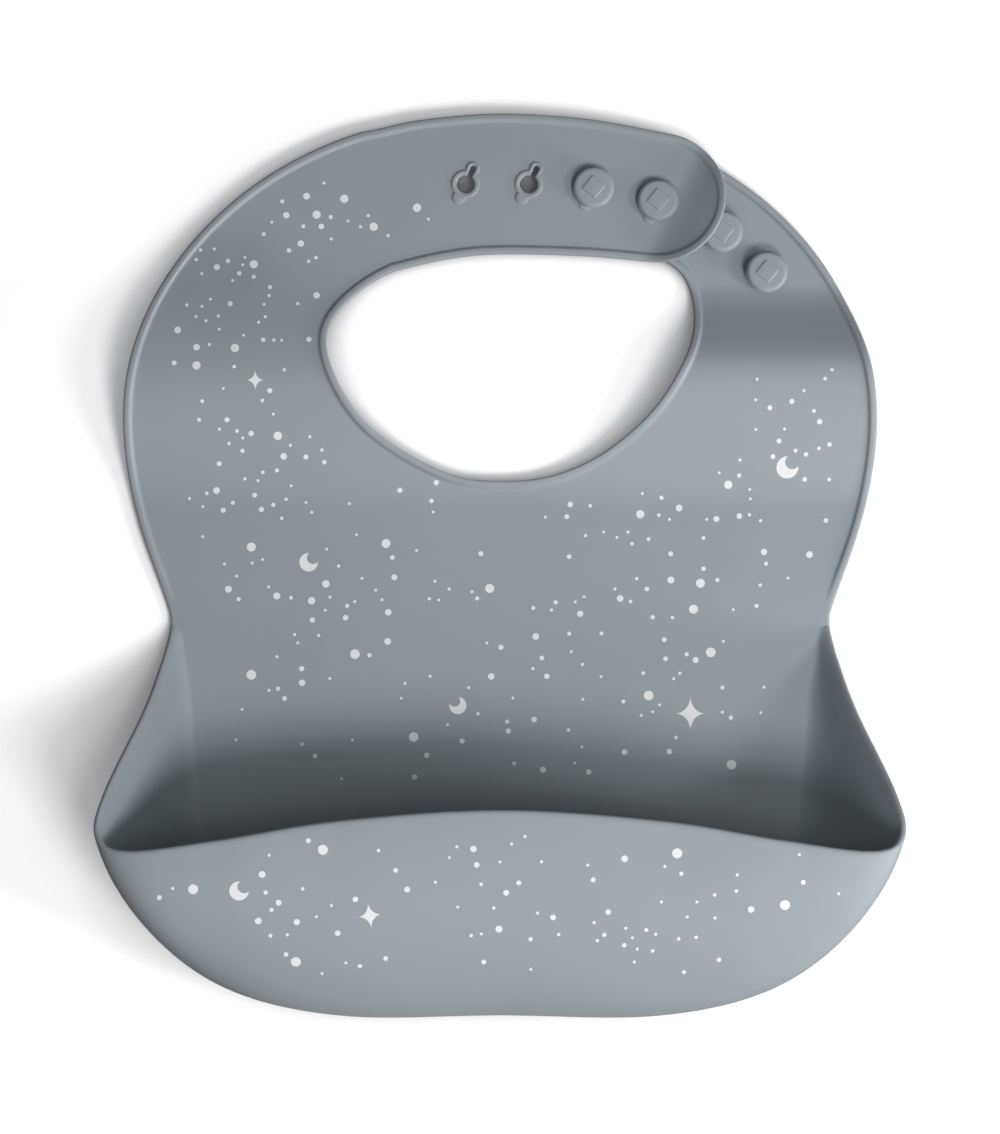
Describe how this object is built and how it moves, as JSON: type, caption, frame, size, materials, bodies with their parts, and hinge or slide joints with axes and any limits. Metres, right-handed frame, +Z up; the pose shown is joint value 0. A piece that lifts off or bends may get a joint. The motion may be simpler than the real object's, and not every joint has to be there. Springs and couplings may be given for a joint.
{
  "type": "silicone baby bib",
  "caption": "Moulded silicone bib with a deep catch pocket and a side-fastening neck strap whose studs press through keyholes.",
  "frame": {"origin": "middle of the neck opening, on the plane that the back of the apron lies in", "axes": "+Z up from the pocket to the neck as the bib hangs when worn, +Y towards the wearer, the front faces -Y, +X towards the strap with the studs"},
  "size_m": [0.2268, 0.0472, 0.2595],
  "materials": {
    "silicone": "matte blue-grey moulded silicone with a faint satin sheen",
    "ink": "thin pale grey ink film, matte"
  },
  "bodies": {
    "chest": {"chest_panel": "silicone", "chest_print": "ink"},
    "keyhole_shoulder": {"left_shoulder": "silicone"},
    "keyhole_strap_end": {"keyhole_strap": "silicone", "keyhole_collars": "silicone"},
    "button_shoulder": {"right_shoulder": "silicone", "button_strap": "silicone", "closure_button_1": "silicone", "closure_button_2": "silicone", "closure_button_3": "silicone", "closure_button_4": "silicone"},
    "lower_apron": {"lower_panel": "silicone", "apron_print": "ink"},
    "pocket": {"pocket_front_wall": "silicone", "pocket_floor": "silicone", "left_gusset": "silicone", "right_gusset": "silicone", "pocket_rim": "silicone"}
  },
  "joints": [
    {"name": "neck_loop_fold", "type": "hinge", "parent": "chest", "child": "keyhole_shoulder", "pos_m": [-0.078, -0.0109, 0], "axis": [-1, 0, 0], "range_deg": [-20, 90], "stiffness_Nm_per_rad": 0.004},
    {"name": "stud_shoulder_fold", "type": "hinge", "parent": "chest", "child": "button_shoulder", "pos_m": [0.081, -0.0109, 0], "axis": [-1, 0, 0], "range_deg": [-20, 90], "stiffness_Nm_per_rad": 0.004},
    {"name": "keyhole_strap_peel", "type": "hinge", "parent": "keyhole_shoulder", "child": "keyhole_strap_end", "pos_m": [-0.022, -0.0029, 0.052], "axis": [0, 0, -1], "range_deg": [0, 90], "stiffness_Nm_per_rad": 0.002, "deforming": ["closure_button_1", "closure_button_2"]},
    {"name": "waist_fold", "type": "hinge", "parent": "chest", "child": "lower_apron", "pos_m": [0, -0.0009, -0.06], "axis": [-1, 0, 0], "range_deg": [-60, 90], "stiffness_Nm_per_rad": 0.006},
    {"name": "pocket_flex", "type": "hinge", "parent": "lower_apron", "child": "pocket", "pos_m": [0, -0.0009, -0.163], "axis": [1, 0, 0], "range_deg": [-12, 15], "stiffness_Nm_per_rad": 0.02}
  ],
  "couplings": [
    {"joint": "stud_shoulder_fold", "follows": "neck_loop_fold", "ratio": 1}
  ]
}
